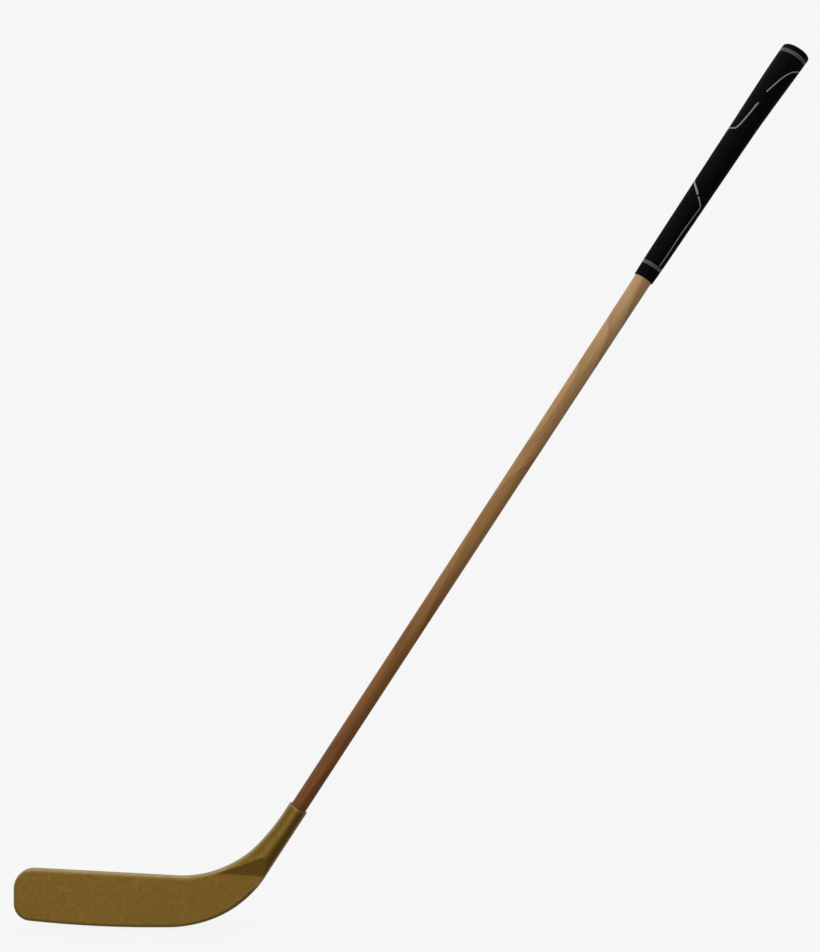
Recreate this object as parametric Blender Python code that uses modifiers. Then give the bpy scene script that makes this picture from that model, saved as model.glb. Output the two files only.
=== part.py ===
"""Hockey-stick-shaped club: a cast blade with a hosel, a turned wooden shaft and a rubber grip.

Metres, +Z up. The origin is the middle of the flat land on the sole, +X runs from the toe to the
heel, and the blade's faces look along -Y and +Y. The shaft, grip and hosel are turned about one
line, the shaft line, which leaves the ground at the shaft foot and leans by the lie angle.
A distance "along the line" is counted from the shaft foot.
"""

import math

import bmesh
import bpy
from mathutils import Vector

# ---- driving dimensions (metres, degrees) ----
GAP = 0.0003  # clearance between bonded or nested pieces
EASE = 0.0001  # how far a turned shoulder slants

# shaft line
LIE_ANGLE = 56.88
SHAFT_FOOT_X = 0.05924

# blade outline, seen from the front
TOE_X = -0.1403
TOE_UPPER_RADIUS = 0.0199
TOE_LOWER_RADIUS = 0.0167
TOP_EDGE_HEIGHT = 0.0508  # of the top edge's line, above the origin
TOP_EDGE_SLOPE = -3.1
THROAT_RADIUS = 0.1023
THROAT_END_HEADING = 46.6
FLARE_RADIUS = 0.220
SOLE_LAND_START_X = -0.008
SOLE_ROCKER_RADIUS = 1.087
HEEL_FRONT_RADIUS = 0.1247
HEEL_FRONT_TURN = 18.4
HEEL_RADIUS = 0.1062

# blade section
BLADE_THICKNESS = 0.009
SKIN_THICKNESS = 0.0094  # of the casting before its faces are milled flat
EDGE_RADIUS = 0.0041
CROWN_END = 0.4  # share of a rib across the throat that keeps the neck's full thickness
# the fan angles over which the throat thickens into the neck, and turns oval
CROWN_THICKENS = (18, 42)
HEEL_THICKENS = (34, 43)
CROWN_ROUNDS = (16, 48)
HEEL_ROUNDS = (34, 45)
FAN_END = 0.100  # along the line, where the fan of sections ends
FACE_TOP_X = 0.101  # a point on the upper limit of the milled face
FACE_TOP_Z = 0.0497
FACE_TOP_SLOPE = -4.0
RAMP_RISE = 0.265  # metres outwards for each metre above the milled face

# hosel
HOSEL_RADIUS = 0.0096
HOSEL_RIM = 0.1379  # along the line
HOSEL_RIM_ROUNDING = 0.0008
SOCKET_RADIUS = 0.00815
SOCKET_FLOOR = 0.0987

# shaft
TENON_RADIUS = 0.0070
TENON_SHOULDER = 0.1361
TENON_CHAMFER = 0.001
SHAFT_RADIUS_LOW = 0.00782
SHAFT_RADIUS_CONTROL = 0.00772
SHAFT_RADIUS_HIGH = 0.00872
SEAT_RADIUS = 0.0078
SEAT_START = 0.7489

# grip
GRIP_MOUTH = 0.7469
GRIP_END = 1.0021
GRIP_RADIUS = 0.01036
GRIP_TAPER = 0.0104
LIP_DEPTH = 0.00045
LIP_FADE = 0.010
MOUTH_BEVEL = 0.0004
FLARE_HEIGHT = 0.0011
FLARE_START = 0.915
FLARE_LENGTH = 0.085
GRIP_LEAN = 0.0078  # sideways for each metre up: the side by the toe stays straight
SWELL_START = 0.900
GRIP_SWELL = 0.15  # sideways for each square metre above the start of the swell
MOUTH_BORE_RADIUS = 0.00905
GRIP_BORE_RADIUS = 0.00875
TAPE_THICKNESS = 0.00035
TAPE_SHORT = 0.0013  # how far the tape stops short of the shaft's end
RING_WIDTH = 0.0038
RING_THICKNESS = 0.00054
RING_EASE = 0.00015
LOWER_RING_MIDDLE = 0.7614
UPPER_RING_THICKNESS = 0.0009
BUTT_END = 1.0121
BUTT_RADIUS = 0.01415
BUTT_ROUNDING = 0.0030
VENT_RADIUS = 0.0012

# fineness
ACROSS_POINTS = 20  # points on each face of a blade section
CORNER_STEPS = 5
TOE_RIBS = 9
STRAIGHT_RIBS = 6
FAN_RIBS = 30
NECK_RIBS = 5
TAPER_STEPS = 16
SHAFT_STEPS = 40
GRIP_STEPS = 56

# ---- collections and materials ----


def clear_scene():
    for old in list(bpy.data.objects):
        bpy.data.objects.remove(old)


def new_collection(name):
    made = bpy.data.collections.new(name)
    bpy.context.scene.collection.children.link(made)
    return made


def new_material(name, colour, roughness, metallic):
    made = bpy.data.materials.new(name)
    made.use_nodes = True
    shader = made.node_tree.nodes["Principled BSDF"]
    shader.inputs["Base Color"].default_value = (*colour, 1.0)
    shader.inputs["Roughness"].default_value = roughness
    shader.inputs["Metallic"].default_value = metallic
    return made


def new_object(name, mesh, collection, material=None):
    made = bpy.data.objects.new(name, mesh)
    collection.objects.link(made)
    if material:
        mesh.materials.append(material)
    return made


# ---- plane geometry of the blade (x to the heel, z up) ----


def direction(heading):
    angle = math.radians(heading)
    return Vector((math.cos(angle), math.sin(angle)))


LINE_DIRECTION = direction(LIE_ANGLE)
LINE_RIGHT = direction(LIE_ANGLE - 90)  # across the shaft line, to the heel side
SHAFT_FOOT = Vector((SHAFT_FOOT_X, 0.0))


def arc(start, heading, radius, turn, longest=0.0012):
    """Points of an arc after its start. A positive turn bends to the left of the heading."""
    steps = max(4, math.ceil(radius * math.radians(abs(turn)) / longest))
    centre = start + direction(heading + math.copysign(90, turn)) * radius
    spoke = start - centre
    points = []
    for i in range(1, steps + 1):
        angle = math.radians(turn) * i / steps
        cos, sin = math.cos(angle), math.sin(angle)
        points.append(centre + Vector((spoke.x * cos - spoke.y * sin, spoke.x * sin + spoke.y * cos)))
    return points


def arcs(start, heading, turns):
    """A run of tangent arcs, each given as (radius, turn), with its start point first."""
    points = [start.copy()]
    for radius, turn in turns:
        points += arc(points[-1], heading, radius, turn)
        heading += turn
    return points


def slide_to_side(points, side, along):
    """Moves a run of arcs along a direction until its end lies on one side of the hosel."""
    end = points[-1] - SHAFT_FOOT
    missing = side * HOSEL_RADIUS - end.dot(LINE_RIGHT)
    shift = along * (missing / along.dot(LINE_RIGHT))
    return [p + shift for p in points]


def on_hosel(along, side):
    return SHAFT_FOOT + LINE_DIRECTION * along + LINE_RIGHT * (side * HOSEL_RADIUS)


def upper_outline():
    """From the toe, up round its corner, along the top edge and the throat to the hosel's rim."""
    centre_x = TOE_X + TOE_UPPER_RADIUS
    slope = math.radians(TOP_EDGE_SLOPE)
    line_z = TOP_EDGE_HEIGHT + math.tan(slope) * centre_x
    start = Vector((TOE_X, line_z - TOE_UPPER_RADIUS / math.cos(slope)))
    corner = arcs(start, 90, [(TOE_UPPER_RADIUS, TOP_EDGE_SLOPE - 90)])
    turns = [
        (THROAT_RADIUS, THROAT_END_HEADING - TOP_EDGE_SLOPE),
        (FLARE_RADIUS, LIE_ANGLE - THROAT_END_HEADING),
    ]
    throat = arcs(Vector((0.0, TOP_EDGE_HEIGHT)), TOP_EDGE_SLOPE, turns)
    throat = slide_to_side(throat, -1, direction(TOP_EDGE_SLOPE))
    return corner + throat + [on_hosel(HOSEL_RIM, -1)]


def lower_outline():
    """From the toe, down round its corner, along the sole and the heel to the hosel's rim."""
    centre_x = TOE_X + TOE_LOWER_RADIUS
    reach = SOLE_ROCKER_RADIUS - TOE_LOWER_RADIUS
    rocker_turn = math.degrees(math.asin((SOLE_LAND_START_X - centre_x) / reach))
    start_z = SOLE_ROCKER_RADIUS - reach * math.cos(math.radians(rocker_turn))
    turns = [(TOE_LOWER_RADIUS, 90 - rocker_turn), (SOLE_ROCKER_RADIUS, rocker_turn)]
    sole = arcs(Vector((TOE_X, start_z)), -90, turns)
    turns = [(HEEL_FRONT_RADIUS, HEEL_FRONT_TURN), (HEEL_RADIUS, LIE_ANGLE - HEEL_FRONT_TURN)]
    heel = slide_to_side(arcs(Vector((0.0, 0.0)), 0, turns), 1, Vector((1.0, 0.0)))
    return sole + heel + [on_hosel(HOSEL_RIM, 1)]


def crossing(points, origin, heading):
    """Where a run of points crosses the line through origin."""
    side = Vector((-heading.y, heading.x))
    for first, second in zip(points, points[1:]):
        before, after = (first - origin).dot(side), (second - origin).dot(side)
        if before * after <= 0 and before != after:
            return first.lerp(second, before / (before - after))
    raise ValueError("the line misses the outline")


def edge_distance(point, outline):
    """Distance from a point of the blade to its outline."""
    nearest = math.inf
    for first, second in zip(outline, outline[1:]):
        edge = second - first
        share = min(1.0, max(0.0, (point - first).dot(edge) / edge.length_squared))
        nearest = min(nearest, (point - first - edge * share).length)
    return nearest


# ---- blade head ----


def smooth(value, low, high):
    share = min(1.0, max(0.0, (value - low) / (high - low)))
    return share * share * (3 - 2 * share)


def blend(low, high, share):
    return low + (high - low) * share


def rib_lines():
    """The lines across the head that its sections stand on, with each one's fan angle.

    They are upright along the blade, open like a fan round the throat, and end square to the
    shaft line.
    """
    lines = []
    for i in range(1, CORNER_STEPS + 1):
        angle = math.radians(90 * i / CORNER_STEPS)
        lines.append((TOE_X + EDGE_RADIUS * (1 - math.cos(angle)), 0.0))
    first = math.acos(1 - EDGE_RADIUS / TOE_UPPER_RADIUS)
    for i in range(1, TOE_RIBS + 1):
        angle = blend(first, math.pi / 2, i / TOE_RIBS)
        lines.append((TOE_X + TOE_UPPER_RADIUS * (1 - math.cos(angle)), 0.0))
    for i in range(1, STRAIGHT_RIBS + 1):
        share = i / STRAIGHT_RIBS
        lines.append((blend(TOE_X + TOE_UPPER_RADIUS, SOLE_LAND_START_X, share), 0.0))
    down = Vector((0.0, -1.0))
    ribs = [(Vector((x, 0.0)), down, angle) for x, angle in lines]
    square = SHAFT_FOOT + LINE_DIRECTION * FAN_END
    fan_x = land_end_x()
    pivot = square - LINE_RIGHT * ((square.x - fan_x) / LINE_RIGHT.x)
    for i in range(FAN_RIBS + 1):
        angle = LIE_ANGLE * i / FAN_RIBS
        ribs.append((pivot, direction(angle - 90), angle))
    for i in range(1, NECK_RIBS + 1):
        along = blend(FAN_END, HOSEL_RIM - HOSEL_RIM_ROUNDING, i / NECK_RIBS)
        ribs.append((SHAFT_FOOT + LINE_DIRECTION * along, LINE_RIGHT, LIE_ANGLE))
    return ribs


def land_end_x():
    """Where the flat land of the sole ends and the heel starts to rise."""
    rise = arcs(
        Vector((0.0, 0.0)),
        0,
        [(HEEL_FRONT_RADIUS, HEEL_FRONT_TURN), (HEEL_RADIUS, LIE_ANGLE - HEEL_FRONT_TURN)],
    )
    return slide_to_side(rise, 1, Vector((1.0, 0.0)))[0].x


def inset_reach(top, bottom, outline):
    """How far down a rib the edge rounding goes, measured from its top end."""
    low, high = 0.0, (bottom - top).length / 2
    along = (bottom - top).normalized()
    if edge_distance(top + along * high, outline) < EDGE_RADIUS:
        return high * 0.8
    while high - low > 1e-6:
        middle = (low + high) / 2
        if edge_distance(top + along * middle, outline) < EDGE_RADIUS:
            low = middle
        else:
            high = middle
    return high


def half_thickness(upper_half, lower_half, share):
    """Half the thickness at a share of a rib's length: full across the crown, less by the heel."""
    return blend(upper_half, lower_half, smooth(share, CROWN_END, 1.0))


def plate_points(top, bottom, upper_half, lower_half, outline):
    """Points across a flat section with rounded edges, as (place on the rib, half thickness)."""
    along = (bottom - top).normalized()
    length = (bottom - top).length
    from_top = inset_reach(top, bottom, outline)
    from_bottom = inset_reach(bottom, top, outline)
    flat = ACROSS_POINTS - 2 * (CORNER_STEPS + 1)
    places = []
    for i in range(CORNER_STEPS + 1):
        places.append(from_top * (1 - math.cos(math.radians(90 * i / CORNER_STEPS))))
    for i in range(1, flat + 1):
        places.append(blend(from_top, length - from_bottom, i / (flat + 1)))
    for i in range(CORNER_STEPS, -1, -1):
        places.append(length - from_bottom * (1 - math.cos(math.radians(90 * i / CORNER_STEPS))))
    points = []
    for place in places:
        depth = min(EDGE_RADIUS, edge_distance(top + along * place, outline))
        rounding = EDGE_RADIUS - math.sqrt(EDGE_RADIUS**2 - (EDGE_RADIUS - depth) ** 2)
        points.append((place, half_thickness(upper_half, lower_half, place / length) - rounding))
    return points


def oval_points(top, bottom, upper_half, lower_half):
    """Points across an oval section, in the same form."""
    length = (bottom - top).length
    points = []
    for i in range(ACROSS_POINTS):
        angle = math.pi * (i + 0.5) / ACROSS_POINTS
        share = (1 - math.cos(angle)) / 2
        half = half_thickness(upper_half, lower_half, share)
        points.append((length * share, half * math.sin(angle)))
    return points


def section(top, bottom, angle, outline):
    """One closed section of the head: its front points downwards, then its back points upwards."""
    upper_half = blend(SKIN_THICKNESS / 2, HOSEL_RADIUS, smooth(angle, *CROWN_THICKENS))
    lower_half = blend(SKIN_THICKNESS / 2, HOSEL_RADIUS, smooth(angle, *HEEL_THICKENS))
    plate = plate_points(top, bottom, upper_half, lower_half, outline)
    oval = oval_points(top, bottom, upper_half, lower_half)
    upper_share = smooth(angle, *CROWN_ROUNDS)
    lower_share = smooth(angle, *HEEL_ROUNDS)
    along = (bottom - top).normalized()
    front = []
    for i in range(ACROSS_POINTS):
        share = blend(upper_share, lower_share, i / (ACROSS_POINTS - 1))
        place = top + along * blend(plate[i][0], oval[i][0], share)
        half = blend(plate[i][1], oval[i][1], share)
        front.append(Vector((place.x, -half, place.y)))
    back = [Vector((p.x, -p.y, p.z)) for p in reversed(front)]
    return front + back


def rim_sections(last):
    """Shrinks the last section a little at a time, to round the outer edge of the rim."""
    centre = sum(last, Vector()) / len(last)
    line = Vector((LINE_DIRECTION.x, 0.0, LINE_DIRECTION.y))
    rounded = []
    for turn in (30, 60, 90):
        angle = math.radians(turn)
        inset = HOSEL_RIM_ROUNDING * (1 - math.cos(angle))
        lift = line * (HOSEL_RIM_ROUNDING * math.sin(angle))
        share = 1 - inset / HOSEL_RADIUS
        rounded.append([centre + (p - centre) * share + lift for p in last])
    return rounded


def head_mesh():
    upper, lower = upper_outline(), lower_outline()
    outline = list(reversed(upper)) + lower
    sections = [section(upper[0], lower[0], 0.0, outline)]
    for origin, heading, angle in rib_lines():
        top, bottom = crossing(upper, origin, heading), crossing(lower, origin, heading)
        sections.append(section(top, bottom, angle, outline))
    sections += rim_sections(sections[-1])
    bm = bmesh.new()
    rings = [[bm.verts.new(p) for p in ring] for ring in sections]
    count = len(rings[0])
    for ring, after in zip(rings, rings[1:]):
        for i in range(count):
            j = (i + 1) % count
            bm.faces.new((ring[i], ring[j], after[j], after[i]))
    bm.faces.new(list(reversed(rings[0])))
    bm.faces.new(rings[-1])
    bmesh.ops.recalc_face_normals(bm, faces=bm.faces)
    mesh = bpy.data.meshes.new("blade_head")
    bm.to_mesh(mesh)
    bm.free()
    return mesh


def face_cutter(name, side, collection):
    """A prism that mills one face flat and leaves a ramp up to the thicker neck."""
    slope = math.radians(FACE_TOP_SLOPE)
    along = Vector((math.cos(slope), 0.0, math.sin(slope)))
    up = Vector((-math.sin(slope), 0.0, math.cos(slope)))
    outwards = Vector((0.0, side, 0.0))
    base = Vector((FACE_TOP_X, 0.0, FACE_TOP_Z)) + outwards * (BLADE_THICKNESS / 2)
    below, above, clear = 0.10, 0.05, 0.03
    corners = [
        base - up * below,
        base,
        base + up * above + outwards * (above * RAMP_RISE),
        base + up * above + outwards * clear,
        base - up * below + outwards * clear,
    ]
    bm = bmesh.new()
    ends = [[bm.verts.new(c + along * reach) for c in corners] for reach in (-0.30, 0.10)]
    bm.faces.new(ends[0])
    bm.faces.new(list(reversed(ends[1])))
    for i in range(len(corners)):
        j = (i + 1) % len(corners)
        bm.faces.new((ends[0][i], ends[1][i], ends[1][j], ends[0][j]))
    bmesh.ops.recalc_face_normals(bm, faces=bm.faces)
    mesh = bpy.data.meshes.new(name)
    bm.to_mesh(mesh)
    bm.free()
    return new_cutter(new_object(name, mesh, collection))


def new_cutter(obj):
    obj.hide_render = True
    obj.display_type = "WIRE"
    return obj


def socket_cutter(collection, line):
    """The bore that the shaft's tenon is bonded into, open at the rim."""
    top = HOSEL_RIM + 0.005
    mesh = bpy.data.meshes.new("socket_cutter")
    bm = bmesh.new()
    bmesh.ops.create_cone(
        bm,
        cap_ends=True,
        segments=SHAFT_STEPS,
        radius1=SOCKET_RADIUS,
        radius2=SOCKET_RADIUS,
        depth=top - SOCKET_FLOOR,
    )
    bm.to_mesh(mesh)
    bm.free()
    cutter = new_cutter(new_object("socket_cutter", mesh, collection))
    cutter.parent = line
    cutter.location.z = (top + SOCKET_FLOOR) / 2
    return cutter


def cut(obj, cutter):
    modifier = obj.modifiers.new(cutter.name, "BOOLEAN")
    modifier.operation = "DIFFERENCE"
    modifier.object = cutter


def make_head(parts, cutters, line):
    gold = new_material("gold_metal", (0.30, 0.21, 0.05), 0.38, 0.9)
    head = new_object("blade_head", head_mesh(), parts, gold)
    head.data.shade_smooth()
    head.data.set_sharp_from_angle(angle=math.radians(30))
    cut(head, face_cutter("front_face_cutter", -1, cutters))
    cut(head, face_cutter("back_face_cutter", 1, cutters))
    cut(head, socket_cutter(cutters, line))


# ---- turned parts, drawn as (radius, distance along the line) ----


def turned(name, profile, closed, steps, collection, material, line):
    """Turns a profile about the shaft line. It runs down the outer side, top to bottom."""
    edges = [(i, i + 1) for i in range(len(profile) - 1)]
    if closed:
        edges.append((len(profile) - 1, 0))
    mesh = bpy.data.meshes.new(name)
    mesh.from_pydata([(radius, 0.0, along) for radius, along in profile], edges, [])
    made = new_object(name, mesh, collection, material)
    made.parent = line
    screw = made.modifiers.new("turn", "SCREW")
    screw.steps = steps
    screw.render_steps = steps
    screw.use_merge_vertices = True
    screw.merge_threshold = 0.00001
    screw.use_smooth_shade = True
    return made


def grip_shift(along):
    """How far the outside of the grip stands off the shaft line, towards the heel."""
    swell = GRIP_SWELL * max(0.0, along - SWELL_START) ** 2
    return GRIP_LEAN * (along - GRIP_MOUTH) + swell


def swell_to_heel(made, beyond):
    """Moves the points beyond a radius sideways, so the grip swells on the heel side alone."""
    graph = bpy.context.evaluated_depsgraph_get()
    mesh = bpy.data.meshes.new_from_object(made.evaluated_get(graph))
    made.modifiers.clear()
    made.data = mesh
    for vertex in mesh.vertices:
        if math.hypot(vertex.co.x, vertex.co.y) > beyond:
            vertex.co.x += grip_shift(vertex.co.z)


def shaft_radius(along):
    """The taper between the hosel's rim and the grip's mouth."""
    share = (along - HOSEL_RIM) / (GRIP_MOUTH - HOSEL_RIM)
    share = min(1.0, max(0.0, share))
    low = SHAFT_RADIUS_LOW * (1 - share) ** 2
    middle = 2 * SHAFT_RADIUS_CONTROL * share * (1 - share)
    return low + middle + SHAFT_RADIUS_HIGH * share**2


def make_shaft(parts, line):
    wood = new_material("wood", (0.27, 0.16, 0.08), 0.42, 0.0)
    bottom = SOCKET_FLOOR + GAP
    profile = [(0.0, GRIP_END), (SEAT_RADIUS, GRIP_END), (SEAT_RADIUS, SEAT_START)]
    for i in range(TAPER_STEPS, -1, -1):
        along = blend(TENON_SHOULDER, SEAT_START - EASE, i / TAPER_STEPS)
        profile.append((shaft_radius(along), along))
    profile.append((TENON_RADIUS, TENON_SHOULDER - EASE))
    profile.append((TENON_RADIUS, bottom + TENON_CHAMFER))
    profile.append((TENON_RADIUS - TENON_CHAMFER, bottom))
    profile.append((0.0, bottom))
    turned("wooden_shaft", profile, False, SHAFT_STEPS, parts, wood, line)


def sleeve(inner, outer, bottom, top):
    """The closed profile of a plain tube."""
    return [(outer, top), (outer, bottom), (inner, bottom), (inner, top)]


def make_adhesive(parts, line):
    epoxy = new_material("epoxy", (0.55, 0.50, 0.36), 0.3, 0.0)
    bottom = SOCKET_FLOOR + 2 * GAP + TENON_CHAMFER
    top = TENON_SHOULDER - GAP
    profile = sleeve(TENON_RADIUS + GAP, SOCKET_RADIUS - GAP, bottom, top)
    turned("hosel_adhesive", profile, True, SHAFT_STEPS, parts, epoxy, line)


def make_tape(parts, line):
    tape = new_material("tape", (0.62, 0.58, 0.48), 0.8, 0.0)
    inner = SEAT_RADIUS + GAP
    profile = sleeve(inner, inner + TAPE_THICKNESS, SEAT_START + 2 * GAP, GRIP_END - TAPE_SHORT)
    turned("grip_tape", profile, True, SHAFT_STEPS, parts, tape, line)


def grip_radius(along):
    """A straight taper, drawn in at the mouth and flared towards the butt."""
    from_mouth = along - GRIP_MOUTH
    lip = LIP_DEPTH * math.exp(-from_mouth / LIP_FADE)
    flare = FLARE_HEIGHT * smooth(along, FLARE_START, FLARE_START + FLARE_LENGTH)
    return GRIP_RADIUS + GRIP_TAPER * from_mouth - lip + flare


def grip_stations(groove_low, groove_high):
    """Distances along the line at which the sleeve's outer profile has a point."""
    lip = [GRIP_MOUTH + MOUTH_BEVEL, GRIP_MOUTH + LIP_FADE * 0.4, groove_low]
    straight = [groove_high]
    for i in range(6):
        straight.append(blend(groove_high + LIP_FADE * 0.6, FLARE_START, i / 5))
    flare = [FLARE_START + FLARE_LENGTH * i / 10 for i in range(1, 11)]
    return lip, straight + flare + [GRIP_END]


def make_sleeve(parts, line, rubber):
    half = RING_WIDTH / 2 + GAP
    groove_low, groove_high = LOWER_RING_MIDDLE - half, LOWER_RING_MIDDLE + half
    groove_floor = grip_radius(LOWER_RING_MIDDLE) - RING_THICKNESS - GAP
    below, above = grip_stations(groove_low, groove_high)
    profile = [(grip_radius(along), along) for along in reversed(above)]
    profile += [(groove_floor, groove_high), (groove_floor, groove_low)]
    profile += [(grip_radius(along), along) for along in reversed(below)]
    profile.append((grip_radius(GRIP_MOUTH) - MOUTH_BEVEL, GRIP_MOUTH))
    bore_step = SEAT_START + GAP
    profile += [(MOUTH_BORE_RADIUS, GRIP_MOUTH), (MOUTH_BORE_RADIUS, bore_step)]
    profile += [(GRIP_BORE_RADIUS, bore_step), (GRIP_BORE_RADIUS, GRIP_END)]
    made = turned("grip_sleeve", profile, True, GRIP_STEPS, parts, rubber, line)
    swell_to_heel(made, (MOUTH_BORE_RADIUS + groove_floor) / 2)


def ring_profile(thickness, bottom, top):
    """A flat ring flush with the grip, its outer corners eased."""
    low, high = grip_radius(bottom), grip_radius(top)
    inner = min(low, high) - thickness
    return [
        (high - RING_EASE, top),
        (high, top - RING_EASE),
        (low, bottom + RING_EASE),
        (low - RING_EASE, bottom),
        (inner, bottom),
        (inner, top),
    ]


def make_rings(parts, line):
    grey = new_material("grey_ring", (0.18, 0.18, 0.17), 0.5, 0.0)
    low = LOWER_RING_MIDDLE - RING_WIDTH / 2
    profile = ring_profile(RING_THICKNESS, low, low + RING_WIDTH)
    swell_to_heel(turned("lower_ring", profile, True, GRIP_STEPS, parts, grey, line), 0.0)
    low = GRIP_END + GAP
    profile = ring_profile(UPPER_RING_THICKNESS, low, low + RING_WIDTH)
    swell_to_heel(turned("upper_ring", profile, True, GRIP_STEPS, parts, grey, line), 0.0)


def make_end_cap(parts, line, rubber):
    """A disc with a rounded edge, a neck that carries the upper ring, and a vent hole."""
    bottom = GRIP_END + GAP
    shoulder = bottom + RING_WIDTH + GAP
    neck_radius = grip_radius(bottom) - UPPER_RING_THICKNESS - GAP
    flat_radius = BUTT_RADIUS - BUTT_ROUNDING
    profile = [(VENT_RADIUS, BUTT_END)]
    for i in range(7):
        angle = math.radians(90 * i / 6)
        radius = flat_radius + BUTT_ROUNDING * math.sin(angle)
        profile.append((radius, BUTT_END - BUTT_ROUNDING * (1 - math.cos(angle))))
    profile += [(BUTT_RADIUS, shoulder), (neck_radius, shoulder)]
    profile += [(neck_radius, bottom), (VENT_RADIUS, bottom)]
    swell_to_heel(turned("grip_end_cap", profile, True, GRIP_STEPS, parts, rubber, line), 0.0)


def main():
    clear_scene()
    parts = new_collection("hockey_stick_club")
    cutters = new_collection("cutters")
    line = bpy.data.objects.new("shaft_line", None)
    parts.objects.link(line)
    line.location = (SHAFT_FOOT_X, 0.0, 0.0)
    line.rotation_euler = (0.0, math.radians(90 - LIE_ANGLE), 0.0)
    rubber = new_material("black_rubber", (0.012, 0.012, 0.012), 0.6, 0.0)
    make_head(parts, cutters, line)
    make_adhesive(parts, line)
    make_shaft(parts, line)
    make_tape(parts, line)
    make_sleeve(parts, line, rubber)
    make_rings(parts, line)
    make_end_cap(parts, line, rubber)


main()
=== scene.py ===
"""Looks of the hockey-stick-shaped club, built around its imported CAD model.

Metres, in the CAD's frame: the origin is the middle of the flat land on the sole, +X runs from
the toe to the heel, the blade's front face looks along -Y, and +Z is up. The shaft, grip and hosel
are turned about the shaft line. A distance "along the line" is counted from the shaft foot, and an
angle round it from the front, positive towards the heel.
"""

import math

import bpy
import numpy as np
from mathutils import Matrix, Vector


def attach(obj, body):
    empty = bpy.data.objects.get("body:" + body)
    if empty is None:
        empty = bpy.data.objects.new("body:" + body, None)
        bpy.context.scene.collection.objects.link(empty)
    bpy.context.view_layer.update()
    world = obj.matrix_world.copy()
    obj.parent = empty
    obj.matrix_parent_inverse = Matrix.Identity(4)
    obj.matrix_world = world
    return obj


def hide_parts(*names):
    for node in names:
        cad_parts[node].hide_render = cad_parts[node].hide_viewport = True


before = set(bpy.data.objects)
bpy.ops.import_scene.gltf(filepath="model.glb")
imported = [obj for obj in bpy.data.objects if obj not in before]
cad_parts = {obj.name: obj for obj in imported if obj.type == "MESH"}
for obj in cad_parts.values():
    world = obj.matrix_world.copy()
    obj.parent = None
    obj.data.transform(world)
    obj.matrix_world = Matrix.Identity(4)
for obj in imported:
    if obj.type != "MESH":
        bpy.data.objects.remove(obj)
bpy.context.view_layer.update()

# ---- the CAD's own dimensions ----
LIE_ANGLE = 56.88
SHAFT_FOOT_X = 0.05924
TOE_X = -0.1403
TOE_UPPER_RADIUS = 0.0199
TOE_LOWER_RADIUS = 0.0167
TOP_EDGE_HEIGHT = 0.0508
TOP_EDGE_SLOPE = -3.1
THROAT_RADIUS = 0.1023
THROAT_END_HEADING = 46.6
FLARE_RADIUS = 0.220
SOLE_LAND_START_X = -0.008
SOLE_ROCKER_RADIUS = 1.087
HEEL_FRONT_RADIUS = 0.1247
HEEL_FRONT_TURN = 18.4
HEEL_RADIUS = 0.1062
BLADE_THICKNESS = 0.009
SKIN_THICKNESS = 0.0094
EDGE_RADIUS = 0.0041
CROWN_END = 0.4
CROWN_THICKENS = (18, 42)
HEEL_THICKENS = (34, 43)
CROWN_ROUNDS = (16, 48)
HEEL_ROUNDS = (34, 45)
FAN_END = 0.100
FACE_TOP_X = 0.101
FACE_TOP_Z = 0.0497
FACE_TOP_SLOPE = -4.0
RAMP_RISE = 0.265
HOSEL_RADIUS = 0.0096
HOSEL_RIM = 0.1379
HOSEL_RIM_ROUNDING = 0.0008
SOCKET_RADIUS = 0.00815
SOCKET_FLOOR = 0.0987
GRIP_MOUTH = 0.7469
GRIP_RADIUS = 0.01036
GRIP_TAPER = 0.0104
LIP_DEPTH = 0.00045
LIP_FADE = 0.010
FLARE_HEIGHT = 0.0011
FLARE_START = 0.915
FLARE_LENGTH = 0.085
GRIP_LEAN = 0.0078
SWELL_START = 0.900
GRIP_SWELL = 0.15

# ---- the finer detail that only the looks have ----
ACROSS = 72  # points on each face of a blade section
CORNER = 10  # steps of its rounded edges
TOE_RIBS = 24
STRAIGHT_RIBS = 54
FAN_RIBS = 120
NECK_RIBS = 24
RIDGE_EASE = 0.0003  # rounds off the ridge between the milled face and the neck
RAMP_EASE = 0.0006  # rounds off the foot of the ramp above the milled face
BORE_EASE = 0.0002  # rounds off the inner edge of the hosel's rim
WEAR_AND_HIGHLIGHT_REACH = 0.0034  # how far from the outline the paler edge fades out, partly worn metal, partly a painted highlight
RIM_HIGHLIGHT = 0.45  # how strongly the hosel's rim is painted lighter as a highlight, against the blade's edges
RIM_HIGHLIGHT_REACH = (0.0008, 0.0028)  # below the rim, where its painted highlight fades out
WELD_DISTANCE = 0.00001
CREASE_ANGLE = 35

# the stretch of the shaft line over which the wood's tone and figure run
WOOD_START = 0.1373
WOOD_END = 0.748
# where a grain line crosses the front of the shaft: share of the stretch, and mm sideways
GRAIN_RUN = [
    (0.00, -4.2), (0.04, -2.4), (0.07, 0.7), (0.10, 4.3), (0.135, 8.5), (0.25, 9.0), (0.31, 5.8),
    (0.35, 2.4), (0.40, -2.7), (0.48, -5.5), (0.55, -8.0), (0.62, -5.1), (0.65, 0.7), (0.68, 5.2),
    (0.72, 8.5), (0.80, 8.5), (0.84, 4.7), (0.89, -2.1), (0.91, -7.6), (0.96, -14.4), (1.0, -17.4),
]
GRAIN_LEFT = 20.0  # mm, more than the furthest of them to the left
GRAIN_REACH = 32.0  # mm, from there to more than the furthest to the right
GRAIN_SPACING = 14.0  # mm between grain lines
GRAIN_SIDEWAYS = 940  # mm for each metre: the grain's layers face the heel side,
GRAIN_DEPTH = 340  # and a little to the back
GRAIN_BEND = 1.2  # mm to either side


def smooth(value, low, high):
    share = np.clip((value - low) / (high - low), 0, 1)
    return share * share * (3 - 2 * share)


def lerp(low, high, share):
    return low + (high - low) * share


# ---- node materials ----


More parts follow.
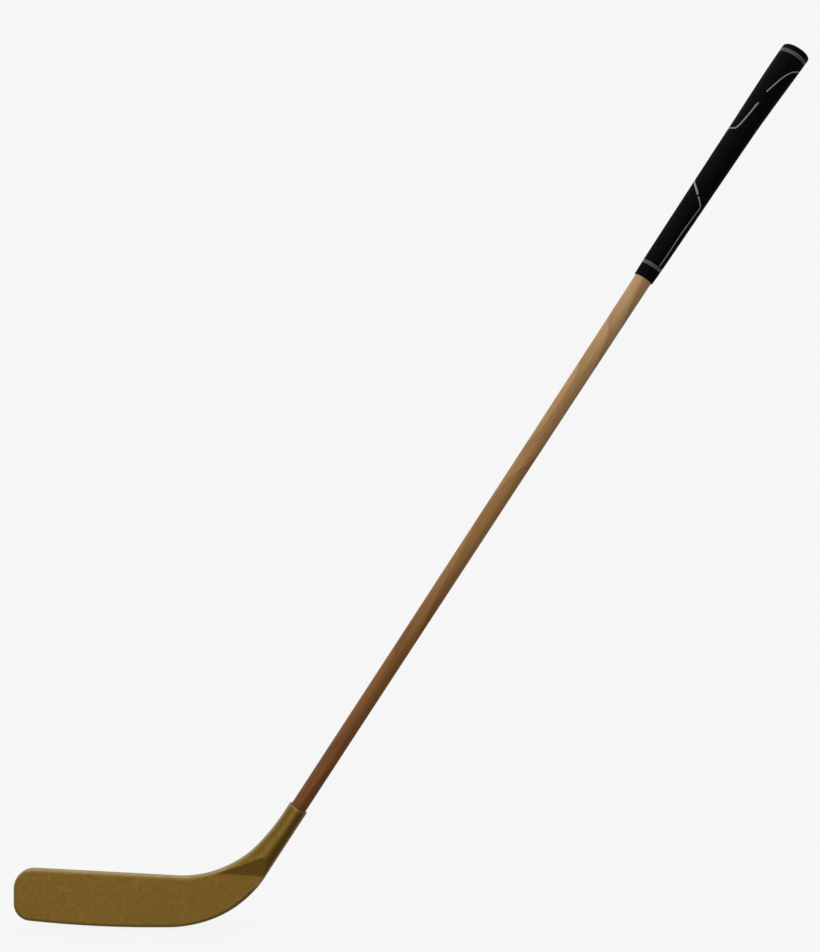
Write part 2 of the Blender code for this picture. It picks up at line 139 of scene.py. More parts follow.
class Shading:
    """A tree of shader nodes in the making. Inputs may be numbers, colours or nodes' outputs."""

    def __init__(self, tree):
        self.tree = tree

    def put(self, socket, value):
        if isinstance(value, bpy.types.NodeSocket):
            self.tree.links.new(value, socket)
        elif socket.type == "RGBA" and len(value) == 3:
            socket.default_value = (*value, 1.0)
        else:
            socket.default_value = value

    def node(self, kind, inputs=(), **settings):
        made = self.tree.nodes.new("ShaderNode" + kind)
        for key, value in settings.items():
            setattr(made, key, value)
        for key, value in dict(inputs).items():
            self.put(made.inputs[key], value)
        return made

    def place(self):
        return self.node("TexCoord").outputs["Object"]

    def line_place(self):
        """Place in the shaft line's frame, for a mesh that is in the CAD's frame."""
        mapping = self.node("Mapping", {"Vector": self.place()}, vector_type="TEXTURE")
        mapping.inputs["Location"].default_value = (SHAFT_FOOT_X, 0, 0)
        mapping.inputs["Rotation"].default_value = (0, math.radians(90 - LIE_ANGLE), 0)
        return mapping.outputs["Vector"]

    def stretched(self, place, scale):
        return self.node("Mapping", {"Vector": place, "Scale": scale}).outputs["Vector"]

    def noise(self, place, scale, detail, rough, distortion=0.0):
        inputs = {
            "Vector": place,
            "Scale": scale,
            "Detail": detail,
            "Roughness": rough,
            "Distortion": distortion,
        }
        return self.node("TexNoise", inputs).outputs["Fac"]

    def math(self, operation, first, second):
        made = self.node("Math", operation=operation)
        self.put(made.inputs[0], first)
        self.put(made.inputs[1], second)
        return made.outputs[0]

    def spread(self, value, from_low, from_high, to_low, to_high):
        inputs = {
            "Value": value,
            "From Min": from_low,
            "From Max": from_high,
            "To Min": to_low,
            "To Max": to_high,
        }
        return self.node("MapRange", inputs).outputs["Result"]

    def towards(self, place, direction, low, high, from_strength, to_strength):
        """A value that grows smoothly as a direction turns towards the given one."""
        aim = Vector(direction).normalized()
        dot = self.node("VectorMath", {0: place, 1: aim}, operation="DOT_PRODUCT")
        inputs = {
            "Value": dot.outputs["Value"],
            "From Min": low,
            "From Max": high,
            "To Min": from_strength,
            "To Max": to_strength,
        }
        return self.node("MapRange", inputs, interpolation_type="SMOOTHSTEP").outputs["Result"]

    def ramp(self, value, stops):
        made = self.node("ValToRGB", {"Fac": value})
        elements = made.color_ramp.elements
        while len(elements) < len(stops):
            elements.new(0.5)
        for element, (position, colour) in zip(elements, stops):
            element.position = position
            element.color = (*colour, 1.0)
        return made.outputs["Color"]

    def grey(self, value):
        return self.node("CombineColor", dict.fromkeys(("Red", "Green", "Blue"), value)).outputs[0]

    def mix(self, share, first, second, blend="MIX"):
        """A mix of two colours. The node's own colour sockets are its 6th, 7th and output 2."""
        made = self.node("Mix", data_type="RGBA", blend_type=blend)
        self.put(made.inputs["Factor"], share)
        self.put(made.inputs[6], first)
        self.put(made.inputs[7], second)
        return made.outputs[2]


class Look(Shading):
    """A node material in the making."""

    def __init__(self, name):
        self.material = bpy.data.materials.new(name)
        self.material.use_nodes = True
        super().__init__(self.material.node_tree)
        self.shader = self.tree.nodes["Principled BSDF"]

    def bump(self, height, depth, strength):
        """Bump whose full height range is depth, in metres."""
        inputs = {"Height": height, "Distance": depth, "Strength": strength}
        normal = self.node("Bump", inputs).outputs["Normal"]
        self.put(self.shader.inputs["Normal"], normal)

    def finish(self, **values):
        for key, value in values.items():
            self.put(self.shader.inputs[key.replace("_", " ")], value)
        return self.material


def gold_metal():
    look = Look("satin_gold")
    place = look.place()
    grain = look.noise(place, 620, 3, 0.65)
    cloud = look.noise(place, 38, 4, 0.55)
    colour = look.ramp(grain, [(0.28, (0.232, 0.130, 0.0175)), (0.72, (0.342, 0.200, 0.031))])
    shade = look.grey(look.spread(cloud, 0.3, 0.7, 0.97, 1.03))
    colour = look.mix(1.0, colour, shade, "MULTIPLY")
    # Paler edges: along the outline partly worn metal, partly a painted highlight on the rounded
    # edges; along the hosel's rim a painted highlight.
    edge = look.node("Attribute", attribute_name="edge").outputs["Fac"]
    wear_and_highlight = look.spread(look.noise(place, 90, 4, 0.6), 0.35, 0.65, 0.38, 0.56)
    colour = look.mix(look.math("MULTIPLY", edge, wear_and_highlight), colour, (0.72, 0.60, 0.36))
    roughness = look.spread(look.noise(place, 260, 3, 0.6), 0.3, 0.7, 0.40, 0.52)
    look.bump(look.math("ADD", grain, look.math("MULTIPLY", cloud, 0.3)), 0.00006, 0.6)
    return look.finish(
        Base_Color=colour,
        Metallic=0.9,
        Roughness=roughness,
        Coat_Weight=0.08,
        Coat_Roughness=0.3,
    )


def grain_run(look, along):
    """How far sideways a grain line lies, in mm, at a share of the shaft's length."""
    wander = look.node("FloatCurve", {"Value": along})
    curve = wander.mapping.curves[0]
    while len(curve.points) < len(GRAIN_RUN):
        curve.points.new(0.5, 0.5)
    for point, (share, run) in zip(curve.points, GRAIN_RUN):
        point.location = (share, (run + GRAIN_LEFT) / GRAIN_REACH)
    wander.mapping.update()
    right = GRAIN_REACH - GRAIN_LEFT
    return look.spread(wander.outputs["Value"], 0, 1, -GRAIN_LEFT, right)


def lacquered_wood():
    look = Look("lacquered_wood")
    place = look.line_place()
    apart = look.node("SeparateXYZ", {"Vector": place}).outputs
    along = look.spread(apart["Z"], WOOD_START, WOOD_END, 0.0, 1.0)
    tone = look.ramp(
        along,
        [
            (0.0, (0.275, 0.092, 0.022)),
            (0.14, (0.315, 0.125, 0.032)),
            (0.38, (0.405, 0.192, 0.056)),
            (0.62, (0.535, 0.285, 0.100)),
            (0.85, (0.680, 0.405, 0.180)),
            (1.0, (0.700, 0.435, 0.210)),
        ],
    )
    wandered = grain_run(look, along)
    fibre = look.noise(look.stretched(place, (420, 420, 7)), 1, 5, 0.6, 0.4)
    sideways = look.math("MULTIPLY", apart["X"], GRAIN_SIDEWAYS)
    depth = look.math("MULTIPLY", apart["Y"], GRAIN_DEPTH)
    across = look.math("SUBTRACT", look.math("ADD", sideways, depth), wandered)
    bend = look.noise(look.stretched(place, (90, 90, 9)), 1, 3, 0.5)
    across = look.math("ADD", across, look.spread(bend, 0, 1, -GRAIN_BEND, GRAIN_BEND))
    rings = look.math("FRACT", look.math("DIVIDE", across, GRAIN_SPACING), 0.0)
    band = look.ramp(
        rings,
        [
            (0.0, (0.84, 0.80, 0.77)),
            (0.05, (0.70, 0.62, 0.56)),
            (0.28, (0.88, 0.84, 0.80)),
            (0.55, (1.02, 1.01, 1.00)),
            (0.94, (1.10, 1.10, 1.10)),
            (1.0, (0.84, 0.80, 0.77)),
        ],
    )
    colour = look.mix(0.6, tone, band, "MULTIPLY")
    patch = look.noise(look.stretched(place, (70, 70, 16)), 1, 3, 0.5)
    reddish = look.spread(patch, 0.5, 0.68, 0.0, 0.5)
    colour = look.mix(reddish, colour, (0.94, 0.82, 0.72), "MULTIPLY")
    streak = look.ramp(fibre, [(0.25, (0.80, 0.78, 0.75)), (0.75, (1.14, 1.15, 1.17))])
    colour = look.mix(0.9, colour, streak, "MULTIPLY")
    pores = look.noise(look.stretched(place, (1500, 1500, 38)), 1, 2, 0.5)
    colour = look.mix(look.spread(pores, 0.62, 0.74, 0.0, 0.45), colour, (0.07, 0.030, 0.012))
    roughness = look.spread(fibre, 0.3, 0.7, 0.40, 0.50)
    sunk = look.spread(pores, 0.6, 0.75, 0.0, 0.6)
    look.bump(look.math("SUBTRACT", fibre, sunk), 0.00005, 0.5)
    return look.finish(
        Base_Color=colour,
        Roughness=roughness,
        Coat_Weight=0.15,
        Coat_Roughness=0.26,
        Specular_IOR_Level=0.14,
    )


def black_rubber():
    look = Look("black_rubber")
    place = look.line_place()
    dust = look.noise(place, 120, 4, 0.6)
    colour = look.ramp(dust, [(0.3, (0.0034, 0.0034, 0.0035)), (0.75, (0.0054, 0.0053, 0.0052))])
    grain = look.noise(place, 1400, 3, 0.6)
    roughness = look.spread(look.noise(place, 60, 4, 0.6), 0.3, 0.7, 0.52, 0.66)
    look.bump(grain, 0.00006, 0.5)
    return look.finish(Base_Color=colour, Roughness=roughness, Specular_IOR_Level=0.04)


def grey_ring():
    look = Look("grey_ring")
    place = look.line_place()
    cloud = look.noise(place, 220, 4, 0.6)
    colour = look.ramp(cloud, [(0.3, (0.085, 0.085, 0.083)), (0.7, (0.125, 0.125, 0.122))])
    roughness = look.spread(look.noise(place, 500, 3, 0.6), 0.3, 0.7, 0.42, 0.55)
    look.bump(look.noise(place, 1200, 2, 0.5), 0.00004, 0.4)
    return look.finish(Base_Color=colour, Roughness=roughness, Specular_IOR_Level=0.35)


def line_paint():
    look = Look("line_paint")
    place = look.place()
    worn = look.noise(place, 700, 4, 0.65)
    rubbed, dull, clean = (0.20, 0.20, 0.19), (0.37, 0.37, 0.355), (0.44, 0.44, 0.425)
    colour = look.ramp(worn, [(0.30, rubbed), (0.46, dull), (0.8, clean)])
    roughness = look.spread(worn, 0.3, 0.7, 0.62, 0.45)
    look.bump(worn, 0.00003, 0.4)
    return look.finish(Base_Color=colour, Roughness=roughness, Specular_IOR_Level=0.3)


def cured_epoxy():
    look = Look("cured_epoxy")
    place = look.line_place()
    cloud = look.noise(place, 300, 4, 0.6)
    colour = look.ramp(cloud, [(0.3, (0.42, 0.36, 0.22)), (0.7, (0.58, 0.52, 0.36))])
    look.bump(cloud, 0.0001, 0.5)
    return look.finish(Base_Color=colour, Roughness=look.spread(cloud, 0.3, 0.7, 0.22, 0.38))


def paper_tape():
    look = Look("paper_tape")
    place = look.line_place()
    weave = look.noise(look.stretched(place, (900, 900, 300)), 1, 4, 0.65)
    colour = look.ramp(weave, [(0.3, (0.52, 0.47, 0.36)), (0.7, (0.66, 0.61, 0.50))])
    look.bump(weave, 0.0001, 0.5)
    return look.finish(Base_Color=colour, Roughness=look.spread(weave, 0.3, 0.7, 0.72, 0.88))


# ---- meshes ----


def new_object(name, data):
    made = bpy.data.objects.new(name, data)
    bpy.context.scene.collection.objects.link(made)
    return made


def weld_group():
    """Geometry nodes that join a CAD node's loose triangles and smooth all but its creases."""
    group = bpy.data.node_groups.new("weld_and_smooth", "GeometryNodeTree")
    for side in ("INPUT", "OUTPUT"):
        group.interface.new_socket("Geometry", in_out=side, socket_type="NodeSocketGeometry")
    nodes, links = group.nodes, group.links
    start, end = nodes.new("NodeGroupInput"), nodes.new("NodeGroupOutput")
    weld = nodes.new("GeometryNodeMergeByDistance")
    weld.inputs["Distance"].default_value = WELD_DISTANCE
    faces, edges, creases = (nodes.new("GeometryNodeSetShadeSmooth") for _ in range(3))
    edges.domain = creases.domain = "EDGE"
    creases.inputs["Shade Smooth"].default_value = False
    angle = nodes.new("GeometryNodeInputMeshEdgeAngle")
    steep = nodes.new("FunctionNodeCompare")
    steep.operation = "GREATER_THAN"
    steep.inputs["B"].default_value = math.radians(CREASE_ANGLE)
    links.new(angle.outputs["Unsigned Angle"], steep.inputs["A"])
    links.new(steep.outputs["Result"], creases.inputs["Selection"])
    chain = [start, weld, faces, edges, creases, end]
    for first, second in zip(chain, chain[1:]):
        links.new(first.outputs[0], second.inputs[0])
    return group


def dress_node(name, material, group):
    """Gives a CAD node that stays its material and smooth shading."""
    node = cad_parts[name]
    node.material_slots[0].material = material
    custom = node.data.attributes.get("custom_normal")
    if custom:
        node.data.attributes.remove(custom)
    node.modifiers.new("weld_and_smooth", "NODES").node_group = group


# ---- blade head: the CAD's sections at a finer pitch, with every ridge eased ----


def direction(heading):
    angle = math.radians(heading)
    return np.array((math.cos(angle), math.sin(angle)))


LINE_DIRECTION = direction(LIE_ANGLE)
LINE_RIGHT = direction(LIE_ANGLE - 90)
SHAFT_FOOT = np.array((SHAFT_FOOT_X, 0.0))


def arcs(start, heading, turns, longest=0.0008):
    """A run of tangent arcs, each given as (radius, turn); a positive turn bends to the left."""
    points = [np.array(start, float)]
    for radius, turn in turns:
        steps = max(6, math.ceil(radius * math.radians(abs(turn)) / longest))
        centre = points[-1] + direction(heading + math.copysign(90, turn)) * radius
        spoke = points[-1] - centre
        for i in range(1, steps + 1):
            cos, sin = direction(turn * i / steps)
            turned = (spoke[0] * cos - spoke[1] * sin, spoke[0] * sin + spoke[1] * cos)
            points.append(centre + turned)
        heading += turn
    return points


def slide_to_side(points, side, along):
    """Moves a run of arcs along a direction until its end lies on one side of the hosel."""
    missing = side * HOSEL_RADIUS - (points[-1] - SHAFT_FOOT) @ LINE_RIGHT
    return [p + along * (missing / (along @ LINE_RIGHT)) for p in points]


def on_hosel(along, side):
    return SHAFT_FOOT + LINE_DIRECTION * along + LINE_RIGHT * (side * HOSEL_RADIUS)


def upper_outline():
    centre_x = TOE_X + TOE_UPPER_RADIUS
    slope = math.radians(TOP_EDGE_SLOPE)
    line_z = TOP_EDGE_HEIGHT + math.tan(slope) * centre_x
    start = (TOE_X, line_z - TOE_UPPER_RADIUS / math.cos(slope))
    corner = arcs(start, 90, [(TOE_UPPER_RADIUS, TOP_EDGE_SLOPE - 90)])
    turns = [
        (THROAT_RADIUS, THROAT_END_HEADING - TOP_EDGE_SLOPE),
        (FLARE_RADIUS, LIE_ANGLE - THROAT_END_HEADING),
    ]
    throat = arcs((0.0, TOP_EDGE_HEIGHT), TOP_EDGE_SLOPE, turns)
    throat = slide_to_side(throat, -1, direction(TOP_EDGE_SLOPE))
    return np.array(corner + throat + [on_hosel(HOSEL_RIM, -1)])


def heel_arcs():
    turns = [(HEEL_FRONT_RADIUS, HEEL_FRONT_TURN), (HEEL_RADIUS, LIE_ANGLE - HEEL_FRONT_TURN)]
    return slide_to_side(arcs((0.0, 0.0), 0, turns), 1, np.array((1.0, 0.0)))


def lower_outline():
    centre_x = TOE_X + TOE_LOWER_RADIUS
    reach = SOLE_ROCKER_RADIUS - TOE_LOWER_RADIUS
    rocker_turn = math.degrees(math.asin((SOLE_LAND_START_X - centre_x) / reach))
    start_z = SOLE_ROCKER_RADIUS - reach * math.cos(math.radians(rocker_turn))
    turns = [(TOE_LOWER_RADIUS, 90 - rocker_turn), (SOLE_ROCKER_RADIUS, rocker_turn)]
    sole = arcs((TOE_X, start_z), -90, turns)
    return np.array(sole + heel_arcs() + [on_hosel(HOSEL_RIM, 1)])


def crossing(points, origin, heading):
    """Where a run of points crosses the line through origin."""
    side = (points - origin) @ np.array((-heading[1], heading[0]))
    i = np.flatnonzero((side[:-1] * side[1:] <= 0) & (side[:-1] != side[1:]))[0]
    return lerp(points[i], points[i + 1], side[i] / (side[i] - side[i + 1]))


def edge_distance(points, outline):
    """Distance from each point of the blade to its outline."""
    edge = np.diff(outline, axis=0)
    offset = points[:, None] - outline[:-1]
    share = np.clip((offset * edge).sum(2) / (edge**2).sum(1), 0, 1)
    return np.linalg.norm(offset - edge * share[..., None], axis=2).min(1)


def rib_lines():
    """Origin, heading and fan angle of the line that each section stands on."""
    turns = np.radians(np.arange(1, CORNER + 1) * 90 / CORNER)
    columns = list(TOE_X + EDGE_RADIUS * (1 - np.cos(turns)))
    first = math.acos(1 - EDGE_RADIUS / TOE_UPPER_RADIUS)
    turns = np.linspace(first, math.pi / 2, TOE_RIBS + 1)[1:]
    columns += list(TOE_X + TOE_UPPER_RADIUS * (1 - np.cos(turns)))
    corner_end = TOE_X + TOE_UPPER_RADIUS
    columns += list(np.linspace(corner_end, SOLE_LAND_START_X, STRAIGHT_RIBS + 1)[1:])
    ribs = [(np.array((x, 0.0)), direction(-90), 0.0) for x in columns]
    square = SHAFT_FOOT + LINE_DIRECTION * FAN_END
    pivot = square - LINE_RIGHT * ((square[0] - heel_arcs()[0][0]) / LINE_RIGHT[0])
    for angle in np.linspace(0, LIE_ANGLE, FAN_RIBS + 1):
        ribs.append((pivot, direction(angle - 90), angle))
    for along in np.linspace(FAN_END, HOSEL_RIM - HOSEL_RIM_ROUNDING, NECK_RIBS + 1)[1:]:
        ribs.append((SHAFT_FOOT + LINE_DIRECTION * along, LINE_RIGHT, LIE_ANGLE))
    return ribs


def inset_reach(top, bottom, outline):
    """How far down a rib the edge rounding goes, measured from its top end."""
    half = np.linalg.norm(bottom - top) / 2
    places = np.linspace(0, half, 80)
    depths = edge_distance(top + np.outer(places, (bottom - top) / (2 * half)), outline)
    if depths.max() < EDGE_RADIUS:
        return half * 0.8
    return float(np.interp(EDGE_RADIUS, np.maximum.accumulate(depths), places))


def milled_half(points):
    """Half the distance between the milled faces, which open into a ramp under the neck."""
    up = direction(FACE_TOP_SLOPE + 90)
    height = (points - (FACE_TOP_X, FACE_TOP_Z)) @ up
    softened = (height + np.sqrt(height**2 + RAMP_EASE**2)) / 2
    return BLADE_THICKNESS / 2 + RAMP_RISE * softened


def eased_least(first, second):
    """The smaller of two thicknesses, with the ridge between them rounded off."""
    near = np.maximum(RIDGE_EASE - np.abs(first - second), 0) / RIDGE_EASE
    return np.minimum(first, second) - near**2 * RIDGE_EASE / 4


def section(top, bottom, angle, outline):
    """One closed section of the head: its front points downwards, then its back points upwards."""
    length = np.linalg.norm(bottom - top)
    along = (bottom - top) / length
    upper_half = lerp(SKIN_THICKNESS / 2, HOSEL_RADIUS, smooth(angle, *CROWN_THICKENS))
    lower_half = lerp(SKIN_THICKNESS / 2, HOSEL_RADIUS, smooth(angle, *HEEL_THICKENS))
    corner = 1 - np.cos(np.radians(np.arange(CORNER + 1) * 90 / CORNER))
    from_top = inset_reach(top, bottom, outline)
    from_bottom = inset_reach(bottom, top, outline)
    flat = np.linspace(from_top, length - from_bottom, ACROSS - 2 * CORNER)[1:-1]
    plate = np.concatenate((from_top * corner, flat, length - from_bottom * corner[::-1]))
    depth = np.minimum(EDGE_RADIUS, edge_distance(top + np.outer(plate, along), outline))
    rounding = EDGE_RADIUS - np.sqrt(EDGE_RADIUS**2 - (EDGE_RADIUS - depth) ** 2)
    plate_half = lerp(upper_half, lower_half, smooth(plate / length, CROWN_END, 1)) - rounding
    turns = np.pi * (np.arange(ACROSS) + 0.5) / ACROSS
    oval = length * (1 - np.cos(turns)) / 2
    oval_half = lerp(upper_half, lower_half, smooth(oval / length, CROWN_END, 1)) * np.sin(turns)
    share = np.linspace(smooth(angle, *CROWN_ROUNDS), smooth(angle, *HEEL_ROUNDS), ACROSS)
    points = top + np.outer(lerp(plate, oval, share), along)
    half = eased_least(lerp(plate_half, oval_half, share), milled_half(points))
    front = np.stack((points[:, 0], -half, points[:, 1]), 1)
    return np.concatenate((front, (front * (1, -1, 1))[::-1]))


def rim_and_socket(last):
    """Sections that round the rim's outer and inner edges and go down the socket to its floor."""
    centre = last.mean(0)
    line = np.array((LINE_DIRECTION[0], 0, LINE_DIRECTION[1]))
    steps = []  # radius, and height above the last section
    for turn in (18, 36, 54, 72, 90):
        angle = math.radians(turn)
        inset = HOSEL_RIM_ROUNDING * (1 - math.cos(angle))
        steps.append((HOSEL_RADIUS - inset, HOSEL_RIM_ROUNDING * math.sin(angle)))
    steps.append((SOCKET_RADIUS + BORE_EASE, HOSEL_RIM_ROUNDING))
    steps.append((SOCKET_RADIUS + BORE_EASE * 0.3, HOSEL_RIM_ROUNDING - BORE_EASE * 0.3))
    steps.append((SOCKET_RADIUS, HOSEL_RIM_ROUNDING - BORE_EASE))
    for along in (0.130, 0.115, SOCKET_FLOOR):
        steps.append((SOCKET_RADIUS, along - (HOSEL_RIM - HOSEL_RIM_ROUNDING)))
    rings = []
    for radius, lift in steps:
        rings.append(centre + (last - centre) * (radius / HOSEL_RADIUS) + line * lift)
    return rings


def ring_faces(rings, start=0):
    """Faces that join rings of equally many points and cap both ends."""
    count = len(rings[0])
    last = start + (len(rings) - 1) * count
    faces = []
    for low in range(start, last, count):
        for i in range(count):
            j = (i + 1) % count
            faces.append((low + i, low + j, low + count + j, low + count + i))
    faces.append(tuple(range(start + count - 1, start - 1, -1)))
    faces.append(tuple(range(last, last + count)))
    return faces


def smooth_mesh(name, rings, faces, crease=None):
    mesh = bpy.data.meshes.new(name)
    mesh.from_pydata(np.concatenate(rings).tolist(), [], faces)
    mesh.validate()
    mesh.shade_smooth()
    if crease:
        mesh.set_sharp_from_angle(angle=math.radians(crease))
    return mesh


def make_head():
    upper, lower = upper_outline(), lower_outline()
    outline = np.concatenate((upper[::-1], lower))
    sections = [section(upper[0], lower[0], 0.0, outline)]
    for origin, heading, angle in rib_lines():
        top, bottom = crossing(upper, origin, heading), crossing(lower, origin, heading)
        sections.append(section(top, bottom, angle, outline))
    sections += rim_and_socket(sections[-1])
    mesh = smooth_mesh("blade", sections, ring_faces(sections), crease=50)
    points = np.concatenate(sections)[:, (0, 2)]
    # lighter edge mask along the outline: partly wear, partly a painted highlight
    outer = 1 - smooth(edge_distance(points, outline), 0.0, WEAR_AND_HIGHLIGHT_REACH)
    # painted highlight along the hosel's rim, put into the same lighter edge mask
    rim = 1 - smooth(HOSEL_RIM - (points - SHAFT_FOOT) @ LINE_DIRECTION, *RIM_HIGHLIGHT_REACH)
    edge = np.maximum(outer, RIM_HIGHLIGHT * rim)
    mesh.attributes.new("edge", "FLOAT", "POINT").data.foreach_set("value", edge)
    mesh.materials.append(gold_metal())
    blade = new_object("blade", mesh)
    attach(blade, "root")
    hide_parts("blade_head")


# ---- painted lines on the grip ----


def grip_radius(along):
    from_mouth = along - GRIP_MOUTH
    lip = LIP_DEPTH * np.exp(-from_mouth / LIP_FADE)
    flare = FLARE_HEIGHT * smooth(along, FLARE_START, FLARE_START + FLARE_LENGTH)
    return GRIP_RADIUS + GRIP_TAPER * from_mouth - lip + flare


def grip_shift(along):
    """How far the outside of the grip stands off the shaft line, towards the heel."""
    swell = GRIP_SWELL * np.maximum(0, along - SWELL_START) ** 2
    return GRIP_LEAN * (along - GRIP_MOUTH) + swell


def smooth_run(points, per_stretch=10):
    """A smooth curve through points (Catmull-Rom)."""
    points = np.array(points, float)
    before, after = 2 * points[0] - points[1], 2 * points[-1] - points[-2]
    padded = np.concatenate(([before], points, [after]))
    run = []
    for a, b, c, d in zip(padded, padded[1:], padded[2:], padded[3:]):
        square, cube = 2 * a - 5 * b + 4 * c - d, 3 * b - a - 3 * c + d
        for s in np.arange(per_stretch) / per_stretch:
            run.append(0.5 * (2 * b + (c - a) * s + square * s**2 + cube * s**3))
    run.append(points[-1])
    return np.array(run)


# the section of a painted line: share of its width from the middle, and height over the rubber
LINE_SECTION = [
    (-0.5, -0.00012), (-0.5, 0.00002), (-0.36, 0.00006), (0.0, 0.00008),
    (0.36, 0.00006), (0.5, 0.00002), (0.5, -0.00012),
]


def line_rings(stroke):
    """Cross-sections of one painted line. Its points are (along the line, angle, width)."""
    run = smooth_run(stroke)
    along, angle, width = run[:, 0], np.radians(run[:, 1]), run[:, 2]
    radius = grip_radius(along)
    flat = np.stack((along, angle * radius), 1)
    heading = np.gradient(flat, axis=0)
    heading /= np.linalg.norm(heading, axis=1)[:, None]
    rings = []
    for k in range(len(run)):
        ring = []
        for across, lift in LINE_SECTION:
            shift = np.array((-heading[k][1], heading[k][0])) * across * width[k]
            d = along[k] + shift[0]
            a = angle[k] + shift[1] / radius[k]
            r = grip_radius(d) + lift
            ring.append((r * math.sin(a) + grip_shift(d), -r * math.cos(a), d))
        rings.append(np.array(ring))
    return rings


# each painted line: distance along the shaft line, angle round it, and the line's width
GRIP_LINES = [
    # from the lower ring up the heel side
    [
        (0.7642, 34, 0.00113), (0.776, 35, 0.00122), (0.800, 33, 0.00122), (0.820, 37, 0.00122),
        (0.8325, 41, 0.00122),
    ],
    # back across the front
    [(0.8330, 41, 0.0013), (0.8368, 18, 0.00148), (0.8400, -2, 0.00148)],
    # off to the left, round the back in a loop and up the front
    [
        (0.8414, -9, 0.00174), (0.8465, -38, 0.00191), (0.8520, -75, 0.00191),
        (0.8600, -110, 0.00174), (0.8760, -135, 0.00148), (0.8960, -132, 0.0013),
        (0.9085, -105, 0.00122), (0.9130, -75, 0.00122), (0.9140, -50, 0.0013),
        (0.9165, -32, 0.00148), (0.9280, -21, 0.00148), (0.9468, -12, 0.00139),
    ],
    # up to the right, and round the heel side to a point
    [
        (0.9594, -9, 0.00122), (0.9690, 1, 0.0013), (0.9794, 13, 0.0013), (0.9864, 27, 0.0013),
        (0.9900, 39, 0.0013), (0.9942, 67, 0.0013), (0.9960, 100, 0.00113), (0.9965, 135, 0.00052),
    ],
]


def make_grip_lines():
    """The painted lines as one piece, modelled in the shaft line's own frame."""
    rings, faces = [], []
    for stroke in GRIP_LINES:
        stroke_rings = line_rings(stroke)
        faces += ring_faces(stroke_rings, start=len(rings) * len(LINE_SECTION))
        rings += stroke_rings
    mesh = smooth_mesh("grip_lines", rings, faces, crease=60)
    mesh.materials.append(line_paint())
    lines = new_object("grip_lines", mesh)
    lines.location = (SHAFT_FOOT_X, 0, 0)
    lines.rotation_euler = (0, math.radians(90 - LIE_ANGLE), 0)
    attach(lines, "root")


# ---- stage, light and camera ----


PALE = 0.9216  # brightness of the backdrop
FLOOR_LIGHT = 0.63  # the light that reaches the floor
BACKDROP_STEPS = 64
LIGHT_AIM = Vector((0.24, 0.0, 0.40))
CAMERA_PLACE = (0.2421, -1.7, 0.4354)
CAMERA_LENS = 66.6


def backdrop_material():
    """Even glow, with a share near the club that is lit instead and so can take its shadow."""
    look = Look("pale_backdrop")
    nodes, links = look.tree.nodes, look.tree.links
    reach = look.node("VectorMath", {"Vector": look.place()}, operation="LENGTH")
    share = look.spread(reach.outputs["Value"], 0.35, 1.3, 0.08, 0.0)
    strength = look.math("SUBTRACT", PALE, share)
    glow = look.node("Emission", {"Color": (1, 1, 1), "Strength": strength})
    lit = look.math("DIVIDE", share, FLOOR_LIGHT)
    matt = look.node("BsdfDiffuse", {"Color": look.grey(lit)})
    both = look.node("AddShader", {0: glow.outputs[0], 1: matt.outputs[0]})
    links.new(both.outputs[0], nodes["Material Output"].inputs["Surface"])
    nodes.remove(look.shader)
    return look.material


def make_backdrop():
    """A pale floor that sweeps up into a wall and closes overhead."""
    radius, bend, height, sunk = 5.0, 1.6, 6.0, 0.0002
    profile = [(0.4, 0.0), (1.5, 0.0), (radius - bend, 0.0)]
    for i in range(1, 13):
        angle = math.radians(90 * i / 12)
        profile.append((radius - bend + bend * math.sin(angle), bend - bend * math.cos(angle)))
    profile.append((radius, height))
    turns = np.linspace(0, 2 * np.pi, BACKDROP_STEPS, endpoint=False)
    rings = []
    for r, z in profile:
        level = np.full(BACKDROP_STEPS, z - sunk)
        rings.append(np.stack((r * np.cos(turns), r * np.sin(turns), level), 1))
    mesh = smooth_mesh("backdrop", rings, ring_faces(rings))
    mesh.materials.append(backdrop_material())
    backdrop = new_object("backdrop", mesh)
    for ray in ("diffuse", "glossy", "transmission", "shadow"):
        setattr(backdrop, "visible_" + ray, False)


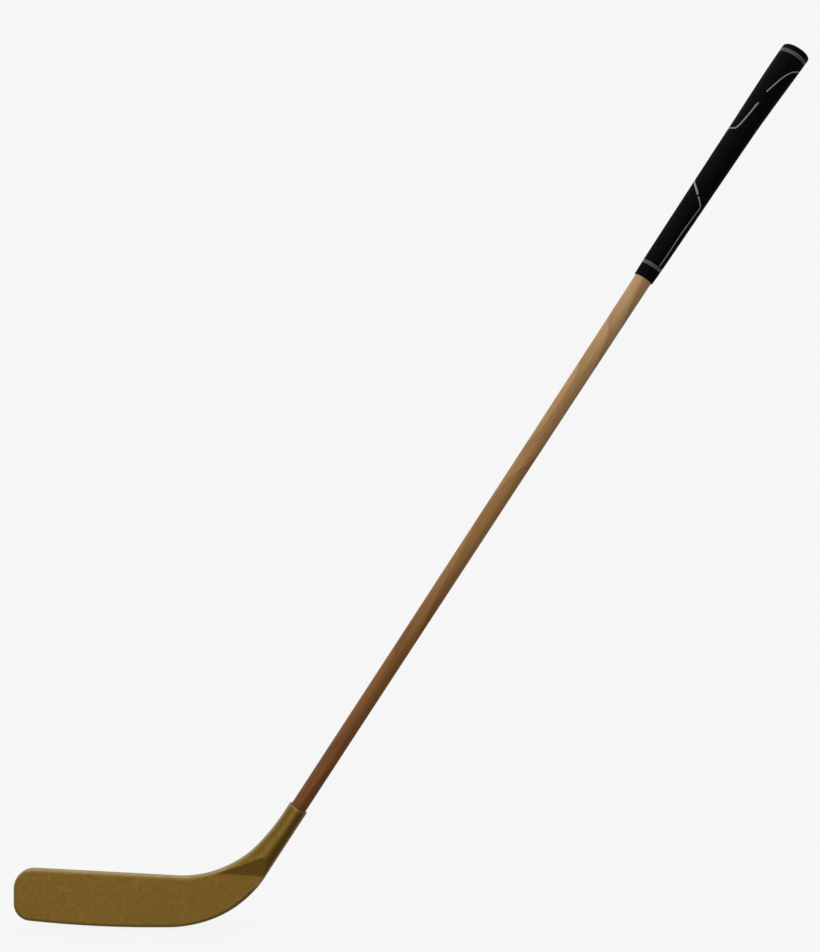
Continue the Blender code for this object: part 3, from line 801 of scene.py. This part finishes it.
def make_world():
    """Soft light from all round: bright behind and above, dim from the lower right."""
    world = bpy.data.worlds.new("studio")
    bpy.context.scene.world = world
    world.use_nodes = True
    look = Shading(world.node_tree)
    place = look.node("TexCoord").outputs["Generated"]
    from_side = look.towards(place, (-0.80, 0.0, 0.60), -0.9, 0.9, 0.17, 0.36)
    from_back = look.towards(place, (0.0, 1.0, 0.0), -0.1, 0.9, 0.0, 0.27)
    from_above = look.towards(place, (0.0, 0.2, 1.0), 0.1, 1.0, 0.0, 0.28)
    from_below = look.towards(place, (0.0, -0.6, -1.0), 0.1, 0.9, 0.0, -0.04)
    level = look.math("ADD", from_side, from_back)
    upright = look.math("ADD", from_above, from_below)
    background = look.tree.nodes["Background"]
    look.put(background.inputs["Color"], (1, 1, 1))
    look.put(background.inputs["Strength"], look.math("ADD", level, upright))


def softbox(name, azimuth, elevation, distance, size, radiance):
    """An area light that looks at the club. Azimuth 0 is in front, and positive to the right."""
    light = bpy.data.lights.new(name, "AREA")
    light.shape = "RECTANGLE"
    light.size, light.size_y = size
    light.energy = radiance * math.pi * size[0] * size[1]
    lamp = new_object(name, light)
    a, e = math.radians(azimuth), math.radians(elevation)
    outwards = Vector((math.sin(a) * math.cos(e), -math.cos(a) * math.cos(e), math.sin(e)))
    lamp.location = LIGHT_AIM + outwards * distance
    lamp.rotation_euler = outwards.to_track_quat("Z", "Y").to_euler()
    lamp.visible_camera = False


def make_lights():
    softbox("key", -17, 0, 2.0, (1.3, 2.4), 0.85)
    softbox("window", -50, 38, 1.5, (0.9, 0.9), 0.6)
    softbox("top", -10, 82, 1.9, (1.4, 1.4), 0.5)


def make_camera():
    camera = bpy.data.cameras.new("camera")
    camera.sensor_width = 36.0
    camera.lens = CAMERA_LENS
    placed = new_object("camera", camera)
    placed.location = CAMERA_PLACE
    placed.rotation_euler = (math.radians(90), 0, 0)
    bpy.context.scene.camera = placed
    bpy.context.scene.view_settings.view_transform = "Standard"


make_camera()
make_head()
group = weld_group()
rubber, ring = black_rubber(), grey_ring()
dress_node("wooden_shaft", lacquered_wood(), group)
dress_node("hosel_adhesive", cured_epoxy(), group)
dress_node("grip_tape", paper_tape(), group)
dress_node("grip_sleeve", rubber, group)
dress_node("grip_end_cap", rubber, group)
dress_node("lower_ring", ring, group)
dress_node("upper_ring", ring, group)
make_grip_lines()
make_backdrop()
make_world()
make_lights()
